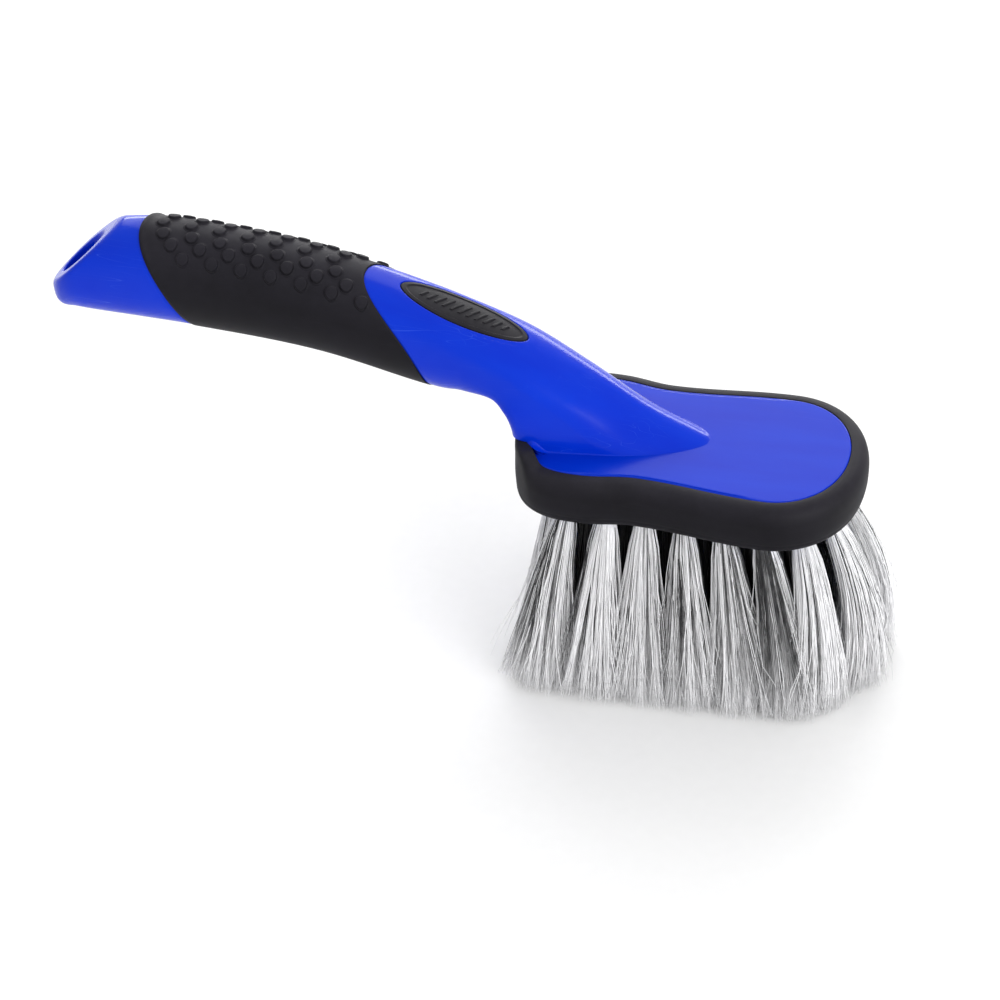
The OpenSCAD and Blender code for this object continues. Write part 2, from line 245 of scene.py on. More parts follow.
class Net:
    """Short ways to place and link nodes in one tree."""

    def __init__(self, tree):
        self.tree = tree

    def node(self, kind, settings=None, **inputs):
        """Node of a kind with its settings; an input is a value or another node's output, and
        an underscore in an input's name stands for a space."""
        made = self.tree.nodes.new("ShaderNode" + kind)
        for label, value in (settings or {}).items():
            setattr(made, label, value)
        for label, value in inputs.items():
            self.put(made.inputs[label.replace("_", " ")], value)
        return made

    def put(self, socket, value):
        """Link an output to the socket, or set a plain value on it."""
        if isinstance(value, bpy.types.NodeSocket):
            self.tree.links.new(value, socket)
        else:
            socket.default_value = value

    def math(self, operation, a, b=0.0, clamp=False):
        """Result of one operation on a and b."""
        made = self.tree.nodes.new("ShaderNodeMath")
        made.operation, made.use_clamp = operation, clamp
        self.put(made.inputs[0], a)
        self.put(made.inputs[1], b)
        return made.outputs[0]

    def span(self, value, low, high, to_low=0.0, to_high=1.0):
        """Value moved from the range low..high to the range to_low..to_high, clamped."""
        made = self.node("MapRange", None, Value=value)
        for k, v in zip((1, 2, 3, 4), (low, high, to_low, to_high)):
            self.put(made.inputs[k], v)
        return made.outputs[0]

    def place(self, scale, turn=(0, 0, 0)):
        """Object coordinates, turned and stretched by scale along each axis."""
        at = self.node("TexCoord").outputs["Object"]
        made = self.node("Mapping", None, Vector=at)
        made.inputs["Rotation"].default_value = turn
        made.inputs["Scale"].default_value = scale
        return made.outputs[0]

    def noise(self, vector, scale, detail, roughness):
        """Fractal noise over the vector, mostly between 0.3 and 0.7."""
        return self.node("TexNoise", None, Vector=vector, Scale=scale, Detail=detail,
                         Roughness=roughness).outputs["Fac"]

    def mix(self, fac, a, b):
        """Colour a where fac is 0 and b where it is 1."""
        made = self.tree.nodes.new("ShaderNodeMix")
        made.data_type = "RGBA"
        self.put(made.inputs[0], fac)
        self.put(made.inputs[6], a)
        self.put(made.inputs[7], b)
        return made.outputs[2]

    def use(self, group, **inputs):
        """Outputs of a shader group that is placed in this tree."""
        made = self.tree.nodes.new("ShaderNodeGroup")
        made.node_tree = group
        for label, value in inputs.items():
            self.put(made.inputs[label.replace("_", " ")], value)
        return made.outputs

    def source(self):
        """Inputs that a group is given."""
        return self.tree.nodes.new("NodeGroupInput").outputs

    def result(self, **outputs):
        """Outputs that a group gives."""
        out = self.tree.nodes.new("NodeGroupOutput")
        for label, value in outputs.items():
            self.put(out.inputs[label.replace("_", " ")], value)


def grain_group():
    """Moulded surface: fine pits over slow waves, and a slow cloud for colour and roughness."""
    group, net = shader_group("moulded_grain", {"Pit Size": 900.0, "Pit Depth": 0.5,
                                                "Wave Depth": 0.5}, ["Height", "Cloud"])
    given = net.source()
    at = net.place((1, 1, 1))
    pits = net.noise(at, given["Pit Size"], 3.0, 0.6)
    waves = net.noise(at, 60.0, 2.0, 0.4)
    height = net.math("ADD", net.math("MULTIPLY", pits, given["Pit Depth"]),
                      net.math("MULTIPLY", waves, given["Wave Depth"]))
    net.result(Height=height, Cloud=net.noise(at, 38.0, 5.0, 0.6))
    return group


def hairline_group():
    """Long thin scratches: zero crossings of noises stretched along two slopes of the middle
    plane, kept only in the patches of a slow noise."""
    group, net = shader_group("hairlines", {"Amount": 0.5}, ["Mask"])
    given = net.source()
    found = []
    for slope, across, thin in ((0.62, 330, 0.006), (0.25, 260, 0.005)):
        streak = net.noise(net.place((7, across, across), (0, -slope, 0)), 1.0, 0.0, 0.5)
        ridge = net.math("ABSOLUTE", net.math("SUBTRACT", streak, 0.5))
        found.append(net.span(ridge, 0.0, thin, 1.0, 0.0))
    lines = net.math("MAXIMUM", found[0], found[1])
    patch = net.span(net.noise(net.place((30, 30, 90)), 1.0, 3.0, 0.6), 0.5, 0.7)
    net.result(Mask=net.math("MULTIPLY", net.math("MULTIPLY", lines, patch), given["Amount"]))
    return group


def top_dust_and_light_group():
    """Dust, bloom and painted light from above on faces that look up, broken by a noise."""
    group, net = shader_group("top_dust_and_painted_light", {"Amount": 0.5}, ["Mask"])
    given = net.source()
    up = net.node("SeparateXYZ", None, Vector=net.node("NewGeometry").outputs["Normal"]).outputs[2]
    cloud = net.span(net.noise(net.place((1, 1, 1)), 70.0, 5.0, 0.65), 0.3, 0.75, 0.45, 1.0)
    # Faces that look up get the mask: a dusty film, and painted light from above.
    mask = net.math("MULTIPLY", net.span(up, 0.05, 1.0), cloud)
    net.result(Mask=net.math("MULTIPLY", mask, given["Amount"]))
    return group


GRAIN, HAIRLINES, TOP_DUST_AND_LIGHT = grain_group(), hairline_group(), top_dust_and_light_group()


def new_material(name):
    """Material with an emptied tree, its Principled shader and its Net."""
    made = bpy.data.materials.new(name)
    made.use_nodes = True
    made.node_tree.nodes.clear()
    net = Net(made.node_tree)
    shader = net.node("BsdfPrincipled")
    out = net.node("OutputMaterial", None, Surface=shader.outputs[0])
    out.is_active_output = True
    return made, net, shader


def bumped(net, shader, height, distance, strength=1.0):
    """Lead a height, scaled by distance in metres, through a Bump node to the shader's normal."""
    bump = net.node("Bump", None, Height=height)
    bump.inputs["Strength"].default_value = strength
    bump.inputs["Distance"].default_value = distance
    net.put(shader.inputs["Normal"], bump.outputs[0])


def blue_plastic():
    """Glossy moulded polypropylene with faint flow marks and light scratches."""
    made, net, shader = new_material("blue_plastic")
    grain = net.use(GRAIN, Pit_Size=1300.0, Pit_Depth=0.2, Wave_Depth=0.7)
    marks = net.use(HAIRLINES, Amount=0.9)["Mask"]
    flow = net.noise(net.place((18, 90, 34), (0, 0.5, 0)), 1.0, 3.0, 0.5)
    deep = net.mix(net.span(flow, 0.3, 0.75), (0.0, 0.022, 0.49, 1), (0.0004, 0.033, 0.55, 1))
    net.put(shader.inputs["Base Color"],
            net.mix(net.math("MULTIPLY", marks, 0.3), deep, (0.08, 0.2, 0.75, 1)))
    rough = net.span(grain["Cloud"], 0.3, 0.75, 0.17, 0.23)
    net.put(shader.inputs["Roughness"], net.math("ADD", rough, net.math("MULTIPLY", marks, 0.2)))
    shader.inputs["IOR"].default_value = 1.49
    shader.inputs["Specular IOR Level"].default_value = 0.13
    height = net.math("SUBTRACT", grain["Height"], net.math("MULTIPLY", marks, 0.3))
    bumped(net, shader, height, 0.00002, 0.5)
    return made


def soft_rubber(name, colour, bloom, dust_and_top_light, rough, pit=1500.0, depth=0.00003):
    """Matt thermoplastic rubber: eroded mould texture, a paler bloom, and on top a paler, dusty tone
    that also stands for painted light from above.
    """
    made, net, shader = new_material(name)
    grain = net.use(GRAIN, Pit_Size=pit, Pit_Depth=0.7, Wave_Depth=0.5)
    marks = net.use(HAIRLINES, Amount=0.12)["Mask"]
    top_dust_and_light_mask = net.use(TOP_DUST_AND_LIGHT, Amount=dust_and_top_light)["Mask"]
    base = net.mix(net.span(grain["Cloud"], 0.35, 0.75), colour, bloom)
    worn = net.mix(marks, base, tuple(4 * v for v in bloom[:3]) + (1,))
    # Faces that look up turn paler: a dusty film, and painted light from above.
    net.put(shader.inputs["Base Color"], net.mix(top_dust_and_light_mask, worn, (0.05, 0.047, 0.06, 1)))
    net.put(shader.inputs["Roughness"],
            net.math("ADD", net.span(grain["Cloud"], 0.3, 0.8, rough, rough + 0.12),
                     net.math("MULTIPLY", top_dust_and_light_mask, 0.15)))
    shader.inputs["IOR"].default_value = 1.48
    shader.inputs["Specular IOR Level"].default_value = 0.12
    bumped(net, shader, grain["Height"], depth, 0.8)
    return made


def bristle(name, dark, pale, rough):
    """Extruded filament: its tone attribute runs from root to tip and carries the painted shade
    of darker locks, with fine lengthwise streaks on top."""
    made, net, shader = new_material(name)
    tone = net.node("Attribute", {"attribute_name": "tone"}).outputs["Fac"]
    streak = net.noise(net.place((900, 900, 60)), 1.0, 2.0, 0.6)
    both = net.math("ADD", tone, net.span(streak, 0.3, 0.7, -0.08, 0.08), clamp=True)
    net.put(shader.inputs["Base Color"], net.mix(both, dark, pale))
    net.put(shader.inputs["Roughness"], net.span(streak, 0.3, 0.7, rough, rough + 0.14))
    shader.inputs["IOR"].default_value = 1.5
    return made


def steel_wire():
    """Drawn wire of the staples, with fine lengthwise lines."""
    made, net, shader = new_material("anchor_wire")
    lines = net.noise(net.place((2400, 260, 2400)), 1.0, 3.0, 0.6)
    net.put(shader.inputs["Base Color"], net.mix(lines, (0.42, 0.41, 0.4, 1), (0.66, 0.65, 0.63, 1)))
    net.put(shader.inputs["Roughness"], net.span(lines, 0.3, 0.7, 0.25, 0.42))
    shader.inputs["Metallic"].default_value = 1.0
    bumped(net, shader, lines, 0.00001)
    return made


BLUE = blue_plastic()
RUBBER = soft_rubber("soft_rubber", (0.0045, 0.0041, 0.0062, 1), (0.009, 0.0082, 0.0122, 1),
                     0.45, 0.5)
BADGE_RUBBER = soft_rubber("badge_rubber", (0.005, 0.0047, 0.0062, 1), (0.0105, 0.01, 0.0128, 1),
                           0.3, 0.42, 1100.0)
LIGHT_BRISTLE = bristle("light_bristle", (0.02, 0.02, 0.023, 1), (0.96, 0.96, 0.975, 1), 0.34)
DARK_BRISTLE = bristle("dark_bristle", (0.006, 0.006, 0.007, 1), (0.06, 0.06, 0.064, 1), 0.32)
WIRE = steel_wire()


# ---------------------------------------------------------------- head outline
def head_outline(count):
    """Closed plan outline of the block, evenly spaced by length, and its outward normals: two
    superellipse lobes joined by sides whose half width eases in to the waist."""
    q = np.linspace(-np.pi / 2, np.pi / 2, 241)

    def lobe(x, length, width, power, a):
        """Half a superellipse about x over the angles a."""
        return np.stack([x + length * signed_power(np.cos(a), 2 / power),
                         width * signed_power(np.sin(a), 2 / power)], -1)

    x = np.linspace(FRONT_X, REAR_X, 200)[1:-1]
    half = np.where(x < WAIST_X, cosine_ease(REAR_W, WAIST_W, (x - REAR_X) / (WAIST_X - REAR_X)),
                    cosine_ease(WAIST_W, FRONT_W, (x - WAIST_X) / (FRONT_X - WAIST_X)))
    line = np.concatenate([
        lobe(FRONT_X, FRONT_END - FRONT_X, FRONT_W, FRONT_LOBE, q), np.stack([x, half], -1),
        lobe(REAR_X, REAR_X - REAR_END, REAR_W, REAR_LOBE, q + np.pi),
        np.stack([x, -half], -1)[::-1]])
    closed = np.concatenate([line, line[:1]])
    run = np.concatenate([[0], np.cumsum(np.linalg.norm(np.diff(closed, axis=0), axis=1))])
    at = np.arange(count) * run[-1] / count
    even = np.stack([np.interp(at, run, closed[:, k]) for k in (0, 1)], -1)
    tangent = np.roll(even, -2, 0) - np.roll(even, 2, 0)
    normal = np.stack([tangent[:, 1], -tangent[:, 0]], -1)
    return even, normal / np.linalg.norm(normal, axis=1, keepdims=True)


def rounded_path(points, count):
    """Smooth path through points: a Hermite curve of each coordinate over the chord length."""
    p = np.array(points, float)
    run = np.concatenate([[0], np.cumsum(np.linalg.norm(np.diff(p, axis=0), axis=1))])
    at = np.linspace(0, run[-1], count)
    return np.stack([curve(np.stack([run, p[:, k]], -1), at) for k in (0, 1)], -1)


def arc(centre, radius, start, end, count):
    """Points of a circular arc, with its angles in degrees."""
    a = np.radians(np.linspace(start, end, count))
    return np.stack([centre[0] + radius * np.cos(a), centre[1] + radius * np.sin(a)], -1)


# ---------------------------------------------------------------- tufts' places
LIGHT_TUFTS = 19
PITCH = 13.0                 # pitch of the tufts along the head
SIDE_Y, INNER_Y = 22.0, 11.0
ARC_X, ARC_R = 27.0, 22.5    # middle and radius of the front arc
ARC_STEP = 33                # degrees between its tufts
INNER_LEAN = 0.7             # lean of the inner tufts as a share of a side tuft's


def tuft_places():
    """Rows of [x, y, lean x, lean y, tip radius, outward droop]: side rows, front arc, rear
    row, inner rows and centre row, in the order of the frame's tufts. Leans are degrees."""
    def lean_x(x):
        """Lean along the head, which grows towards its front."""
        return 4 + 0.25 * x

    def pair(p):
        """A tuft and its mirror image."""
        return [p, [p[0], -p[1], p[2], -p[3], p[4], p[5]]]

    rows = pair([-35, 21.2, -7, 14.85, 9.0, 0.3])
    for i in range(1, 6):
        x = -35 + PITCH * i
        rows += pair([x, SIDE_Y, lean_x(x), 12.4 - 0.07 * x, 9.0, 0.3])
    for k in (0.5, 1.5):
        a = math.radians(ARC_STEP * k)
        rows += pair([ARC_X + ARC_R * math.cos(a), ARC_R * math.sin(a), 12.6 * math.cos(a),
                      12 * math.sin(a), 8.6, 1.5])
    rows += [[-41, 0, -7, 0, 7.4, 0.2]] + pair([-40, INNER_Y, -7, 5.5, 7.4, 0.2])
    for i in range(5):
        x = -28.5 + PITCH * i
        rows += pair([x, INNER_Y, INNER_LEAN * lean_x(x), 5, 5.6, 0.0])
    rows += pair([34.5, 6.4, 9.5, 2.5, 5.6, 0.0])
    for i in range(5):
        x = -27.5 + PITCH * i
        rows.append([x, 0, INNER_LEAN * lean_x(x), 0, 5.2, 0.0])
    return np.array(rows, float)


TUFTS = tuft_places()


def hole_frame(tuft):
    """Unit vectors across and along a tuft's hole; the last one points down, out of it."""
    tilt = Matrix.Rotation(math.radians(tuft[3]), 3, "X") @ Matrix.Rotation(
        math.radians(-tuft[2]), 3, "Y")
    return np.array(tilt).T * np.array([[1], [1], [-1]])


# ---------------------------------------------------------------- moulded body
RING = 200
ANGLES = np.arange(RING) * 2 * np.pi / RING
FOOT_S = -12.0


def foot_ring_normals():
    """Plan position and outward normal of the neck's footprint on the block."""
    ring = skin(CREST_TIP, ANGLES)[:, :2]
    tangent = np.roll(ring, -1, 0) - np.roll(ring, 1, 0)
    normal = np.stack([tangent[:, 1], -tangent[:, 0]], -1)
    return ring, normal / np.linalg.norm(normal, axis=1, keepdims=True)


def at_height(z):
    """Points of the neck's skin at height z, one per column, by halving the span of sections
    in which each column comes down through that height."""
    low, high = np.full(z.shape, FOOT_S), np.full(z.shape, CREST_TIP)
    for _ in range(30):
        mid = (low + high) / 2
        above = skin(mid, ANGLES)[..., 2] > z
        low, high = np.where(above, mid, low), np.where(above, high, mid)
    return skin(low, ANGLES)


def rear_share(points):
    """1 on the outline of the block's rear lobe, less inside it."""
    back = np.maximum(REAR_X - points[:, 0], 0) / (REAR_X - REAR_END)
    return (back ** 3 + np.abs(points[:, 1] / REAR_W) ** 3) ** (1 / 3)


def neck_foot():
    """Rows that bring the neck down to the block. In front and beside, they flare out a little
    on a quarter circle. Towards the rear they rise to the bumper's lip and reach out to its
    inner edge or, right behind, stop on it with a small rounding. Then they go down inside the
    block's outline."""
    ring, normal = foot_ring_normals()
    lip = cosine_ease(0, 1, (LIP_X - ring[:, 0]) / LIP_RUN)
    share = np.maximum(rear_share(ring), 0.1)
    gap = (1 / share - 1) * np.hypot(ring[:, 0] - REAR_X, ring[:, 1])
    out = FOOT_FLARE * (1 - lip) + np.maximum(gap, -FOOT_EDGE) * lip
    rise = np.maximum(0.7 * np.abs(out), FOOT_EDGE)
    land = BLOCK_TOP + (REAR_LIP + 0.08) * lip
    start = skin(FOOT_S, ANGLES)[:, 2]
    rows = []
    for t in np.linspace(0, 1, 16)[1:]:
        rows.append(at_height(start + (land + rise - start) * t))
    for q in np.radians(np.linspace(0, 90, 13)[1:]):
        row = at_height(land + rise * (1 - math.sin(q)))
        row[:, :2] += normal * (out * (1 - math.cos(q)))[:, None]
        rows.append(row)
    last = rows[-1]
    pull = 1 / np.maximum(rear_share(last), 1)
    for drop, keep in ((0.14, 0.985), (1.5, 0.97), (3.0, 0.95)):
        row = last.copy()
        row[:, 0] = REAR_X + (row[:, 0] - REAR_X) * pull * keep
        row[:, 1] *= pull * keep
        row[:, 2] = land - drop
        rows.append(row)
    return np.array(rows)


BADGE_TILT = math.atan((curve(CREST_LINE, BADGE_X + BADGE_RUN)
                        - curve(CREST_LINE, BADGE_X - BADGE_RUN)) / (2 * BADGE_RUN))
BADGE_ALONG = np.array([math.cos(BADGE_TILT), 0, math.sin(BADGE_TILT)])
BADGE_UP = np.array([-math.sin(BADGE_TILT), 0, math.cos(BADGE_TILT)])
BADGE_AT = np.array([BADGE_X, 0, float(curve(CREST_LINE, BADGE_X))])


def badge_edge_distance(points):
    """Rough distance of points outside the badge's outline, negative inside it."""
    u, v = (points - BADGE_AT) @ BADGE_ALONG, points[..., 1]
    share = np.hypot(u / BADGE_A, v / BADGE_B)
    steep = np.hypot(u / BADGE_A ** 2, v / BADGE_B ** 2) / np.maximum(share, 1e-6)
    return (share - 1) / np.maximum(steep, 1e-6)


def neck_shell():
    """Core under the grip, the neck and its foot as one stack of rings. The skin sinks under
    the badge by a smooth step."""
    under = np.linspace(SEAM_TAIL + 1.6, SEAM_NECK - 1.4, 32)
    steps = np.linspace(SEAM_NECK - 1.2, SEAM_NECK - 0.1, 6)
    free = np.arange(SEAM_NECK + 0.5, FOOT_S, 0.75)
    s = np.concatenate([under, steps, free, [FOOT_S]])
    inset = (SLEEVE_T + 0.1) * (1 - smooth_step((s - SEAM_NECK + 1.4) / 1.2))
    body = skin(s[:, None], ANGLES[None, :], inset[:, None])
    top = np.cos(ANGLES)[None, :] > 0
    sink = 1.5 * smooth_step((1.5 - badge_edge_distance(body)) / 1.2) * top
    body = body - BADGE_UP * sink[..., None]
    return capped(np.concatenate([body, neck_foot()]))


def badge_surface(u, v, lift):
    """Point over the handle's skin at u along and v across the badge's frame, lifted along
    its axis. The section is found by moving s until the point has the wanted u."""
    s = BADGE_X + u * math.cos(BADGE_TILT)
    for _ in range(12):
        w = v / (curve(WIDTH_LINE, s) * (1 - curve(SKEW_LINE, s)))
        point = crown(s, w)
        s = s + (u - (point - BADGE_AT) @ BADGE_ALONG) * math.cos(BADGE_TILT)
    point = crown(s, w)
    point[..., 1] = v
    return point + BADGE_UP * np.asarray(lift)[..., None]


def oval_rows(offsets, lifts, count):
    """Rings that follow the badge's outline at distances from it, each at its own lift."""
    a = np.arange(count) * 2 * np.pi / count
    out = np.stack([BADGE_B * np.cos(a), BADGE_A * np.sin(a)], -1)
    out /= np.linalg.norm(out, axis=1, keepdims=True)
    d = np.asarray(offsets, float)[:, None]
    u = BADGE_A * np.cos(a) + d * out[:, 0]
    v = BADGE_B * np.sin(a) + d * out[:, 1]
    return badge_surface(u, v, np.broadcast_to(np.asarray(lifts, float)[:, None], u.shape))


def badge_seat():
    """Collar of the body round the badge: a wall that leaves a narrow gap, a rounded edge and
    a land that sinks into the neck's skin."""
    q = np.radians(np.linspace(0, 90, 7))
    gap, edge = 0.1, 0.4
    offsets = np.concatenate([[gap, gap], gap + edge * (1 - np.cos(q)),
                              [0.9, 1.6, 2.4, 3.2, 4.4, 4.4]])
    lifts = np.concatenate([[-1.6, -0.8], -edge * (1 - np.sin(q)),
                            [0.012, 0.012, 0.012, 0.004, -0.02, -1.6]])
    return ring_shell(oval_rows(offsets, lifts, 240))


END_POWER = 4.5              # how much squarer the tail's underside gets at its end
TAIL_CREASE = 1.3            # width of the rounded edges of the slanted face and the hole
TAIL_TUCK = 4.5              # how far the tail reaches under the grip
RAY_RINGS, RAYS = 208, 168   # core places round the hole and rays from each

# Bilinear table of the section number s over the middle plane of the tail
TABLE_X = np.linspace(-226, -150, 305)
TABLE_Z = np.linspace(96, 148, 105)


def section_table():
    """s of the section through each place (x, z): x along a section is linear from its crest
    to its underside, so each height's curve of x over s is turned round."""
    s = np.linspace(-232, -140, 800)
    top, low = curve(CREST_LINE, s), curve(UNDER_Z, s)
    ahead = np.where(s < -220, 0, curve(UNDER_X, s) - s)
    return np.array([np.interp(TABLE_X, s + ahead * (top - z) / (top - low), s)
                     for z in TABLE_Z])


SECTIONS = section_table()


def section_of(x, z):
    """Bilinear look-up in the table."""
    i = np.clip((x - TABLE_X[0]) / (TABLE_X[1] - TABLE_X[0]), 0, len(TABLE_X) - 1.001)
    j = np.clip((z - TABLE_Z[0]) / (TABLE_Z[1] - TABLE_Z[0]), 0, len(TABLE_Z) - 1.001)
    i0, j0 = i.astype(int), j.astype(int)
    fi, fj = i - i0, j - j0
    return ((SECTIONS[j0, i0] * (1 - fi) + SECTIONS[j0, i0 + 1] * fi) * (1 - fj)
            + (SECTIONS[j0 + 1, i0] * (1 - fi) + SECTIONS[j0 + 1, i0 + 1] * fi) * fj)


def tail_field(p):
    """Signed field of the tail, negative inside: the largest, with rounded creases, of the
    handle's skin, the slanted face, the hanging hole and the end under the grip. Towards the
    very end the skin's power rises, so that the underside stays flat there."""
    x, y, z = p[..., 0], p[..., 1], p[..., 2]
    s = section_of(x, z)
    inset = (SLEEVE_T + 0.15) * smooth_step((s - SEAM_TAIL - 0.3) / 1.3)
    mid, half, way = section_frame(s)
    c = ((x - mid[..., 0]) * way[..., 0] + (z - mid[..., 1]) * way[..., 1]) / (half - inset)
    into = np.maximum((TAIL_END + TAIL_ROUND - s) / TAIL_ROUND, 0)
    across = np.hypot(y / (curve(WIDTH_LINE, s) - inset), into)
    power = FRONT_POWER[0][1] + END_POWER * into ** 3 / np.maximum(across, 1e-6) ** 2
    shell = ((np.abs(c) ** power + across ** power) ** (1 / power) - 1) * TAIL_ROUND
    face = ((z - TAIL_CUT_Z) * math.cos(TAIL_SLANT) - (x - TAIL_END) * math.sin(TAIL_SLANT))
    hole = HANG_R - np.hypot(x - HANG_X, y)
    solid = smooth_max(shell, face, TAIL_CREASE)
    solid = smooth_max(solid, hole, TAIL_CREASE)
    return smooth_max(solid, s - (SEAM_TAIL + TAIL_TUCK), 1.0)


def tail_shell():
    """Tail round its hanging hole: rays leave a core circle in each half plane through the
    hole's axis, and the span of each ray is halved until it ends on the field's zero."""
    around = np.arange(RAY_RINGS) * 2 * np.pi / RAY_RINGS
    turn = np.arange(RAYS) * 2 * np.pi / RAYS
    core_r = 9.6 + 1.2 * np.sin(around) ** 2 + 3.4 * np.maximum(np.cos(around), 0) ** 2
    core_x = HANG_X + core_r * np.cos(around)
    core_z = 111.6 + 0.5 * (core_x - TAIL_END - 1.5)
    core = np.stack([core_x, core_r * np.sin(around), core_z], -1)[:, None, :]
    out = np.stack([np.cos(around), np.sin(around), np.zeros(RAY_RINGS)], -1)[:, None, :]
    ray = out * np.cos(turn)[None, :, None] + np.array([0, 0, 1]) * np.sin(turn)[None, :, None]
    inward = np.maximum(-np.cos(turn), 0)[None, :]
    reach = 62.0
    high = np.minimum(core_r[:, None] / np.maximum(inward, 1e-6), reach)
    low = np.zeros_like(high)
    for _ in range(26):
        mid = (low + high) / 2
        inside = tail_field(core + ray * mid[..., None]) < 0
        low, high = np.where(inside, mid, low), np.where(inside, high, mid)
    return ring_shell(core + ray * low[..., None])


def block_shell():
    """Block of the head: crowned top and rounded edges as rings of the outline, a flat
    underside that is cut round the tufts' holes, and the holes' walls and ends."""
    line, normal = head_outline(480)
    rows = []
    for share in np.linspace(0.05, 0.98, 26):
        z = np.full(len(line), BLOCK_TOP + 0.12 * (1 - share ** 2))
        rows.append(np.column_stack([line * share, z]))
    edge = 0.5
    for q in np.radians(np.linspace(0, 90, 8)):
        z = BLOCK_TOP - edge * (1 - math.cos(q))
        rows.append(np.column_stack([line + normal * (edge * (math.sin(q) - 1) - 0.04),
                                     np.full(len(line), z)]))
    for z in np.linspace(BLOCK_TOP - 1.2, BLOCK_BOTTOM + 0.5, 5):
        rows.append(np.column_stack([line - normal * 0.04, np.full(len(line), z)]))
    rows.append(np.column_stack([line - normal * 0.05, np.full(len(line), BLOCK_BOTTOM)]))
    grid = np.array(rows)
    n, m = grid.shape[:2]
    points = [grid.reshape(-1, 3), grid[:1].mean(1)]
    j = np.arange(m)
    faces = [grid_faces(n, m), np.stack([(j + 1) % m, j, np.full(m, n * m)], -1)]
    count = n * m + 1
    sides = 28
    a = np.arange(sides) * 2 * np.pi / sides
    rims = []
    k = np.arange(sides)
    for tuft in TUFTS:
        across, beside, down = hole_frame(tuft)
        circle = HOLE_R * (np.cos(a)[:, None] * across + np.sin(a)[:, None] * beside)
        root = np.array([tuft[0], tuft[1], BLOCK_BOTTOM])
        mouth = root + circle - down * (circle[:, 2] / down[2])[:, None]
        end = root + circle - down * HOLE_DEPTH
        points += [mouth, end, end.mean(0)[None]]
        rims.append(count + k)
        here = count + k
        there = count + (k + 1) % sides
        faces += [np.stack([here, there, there + sides, here + sides], -1),
                  np.stack([here + sides, there + sides,
                            np.full(sides, count + 2 * sides)], -1)]
        count += 2 * sides + 1
    points = np.concatenate(points)
    border = (n - 1) * m + j
    ids = np.concatenate([border] + rims)
    loops = [list(range(m))] + [list(range(m + i * sides, m + (i + 1) * sides))
                                for i in range(len(rims))]
    flat = [Vector(p) for p in points[ids][:, :2]]
    _, _, tris, _, _, _ = delaunay_2d_cdt(flat, [], loops, 1, 1e-7)
    tris = np.array(tris)
    middle = points[ids][tris].mean(1)[:, :2]
    keep = np.ones(len(tris), bool)
    for rim in rims:
        ring = points[rim][:, :2]
        keep &= np.linalg.norm(middle - ring.mean(0), axis=1) > HOLE_R * 0.93
    under = ids[tris[keep]]
    p = points[under]
    flip = np.cross(p[:, 1] - p[:, 0], p[:, 2] - p[:, 0])[:, 2] > 0
    under[flip] = under[flip][:, ::-1]
    return points, oriented_block(points, faces, under)


def oriented_block(points, faces, under):
    """Block faces turned outwards: rings by the outline's volume, hole walls towards the
    hole's axis, hole ends down."""
    _, rings = outward(points, faces[:2])
    found = list(rings)
    for wall, end in zip(faces[2::2], faces[3::2]):
        axis = points[np.unique(wall)].mean(0)
        a, b, c = (points[wall[:, k]] for k in (0, 1, 2))
        facing = np.einsum("ij,ij->i", np.cross(b - a, c - a), axis - points[wall].mean(1))
        found.append(wall if facing.sum() > 0 else wall[:, ::-1])
        a, b, c = (points[end[:, k]] for k in (0, 1, 2))
        found.append(end if np.cross(b - a, c - a)[:, 2].sum() < 0 else end[:, ::-1])
    return found + [under]


make_piece("moulded_body", joined([tail_shell(), neck_shell(), badge_seat(), block_shell()]),
           BLUE, ["brush_body"])


# ---------------------------------------------------------------- soft grip
DOT_ANGLE, DOT_SHIFT = (0, 18, 33, 49), (0, 1.32, 3.85, 6.435)
DOT_FIRST, DOT_PITCH, DOT_R, DOT_H = -177.0, 9.8, 2.25, 1.0
DOT_COLS = 7


def grip_sleeve():
    """Tube over the handle's recess. Its outer rings stand a little proud of the body, with
    lips undercut at 45 degrees at both seams and a raised rim at the tail, strongest on the
    crest. Its inner rings lie on the recess."""
    lip = 0.55 * (1 - np.sin(np.radians(np.linspace(0, 90, 8))))
    wall, proud, middle = 1.9, 0.28, 170
    s = np.concatenate([[SEAM_TAIL], SEAM_TAIL + lip,
                        np.linspace(SEAM_TAIL + 0.85, SEAM_NECK - 0.85, middle),
                        SEAM_NECK - lip[::-1], [SEAM_NECK]])
    depth = np.concatenate([[wall], lip, np.zeros(middle), lip[::-1], [wall]])
    rim = 0.6 * np.exp(-((s - SEAM_TAIL - 1.2) / 0.9) ** 2)[:, None] * smooth_step(
        (np.cos(ANGLES)[None, :] - 0.1) / 0.8)
    outer = skin(s[:, None], ANGLES[None, :], (depth - proud)[:, None] - rim)
    below = np.linspace(SEAM_NECK, SEAM_TAIL, 40)
    inner = skin(below[:, None], ANGLES[None, :], SLEEVE_T - 0.02)
    return ring_shell(np.concatenate([outer, inner]))


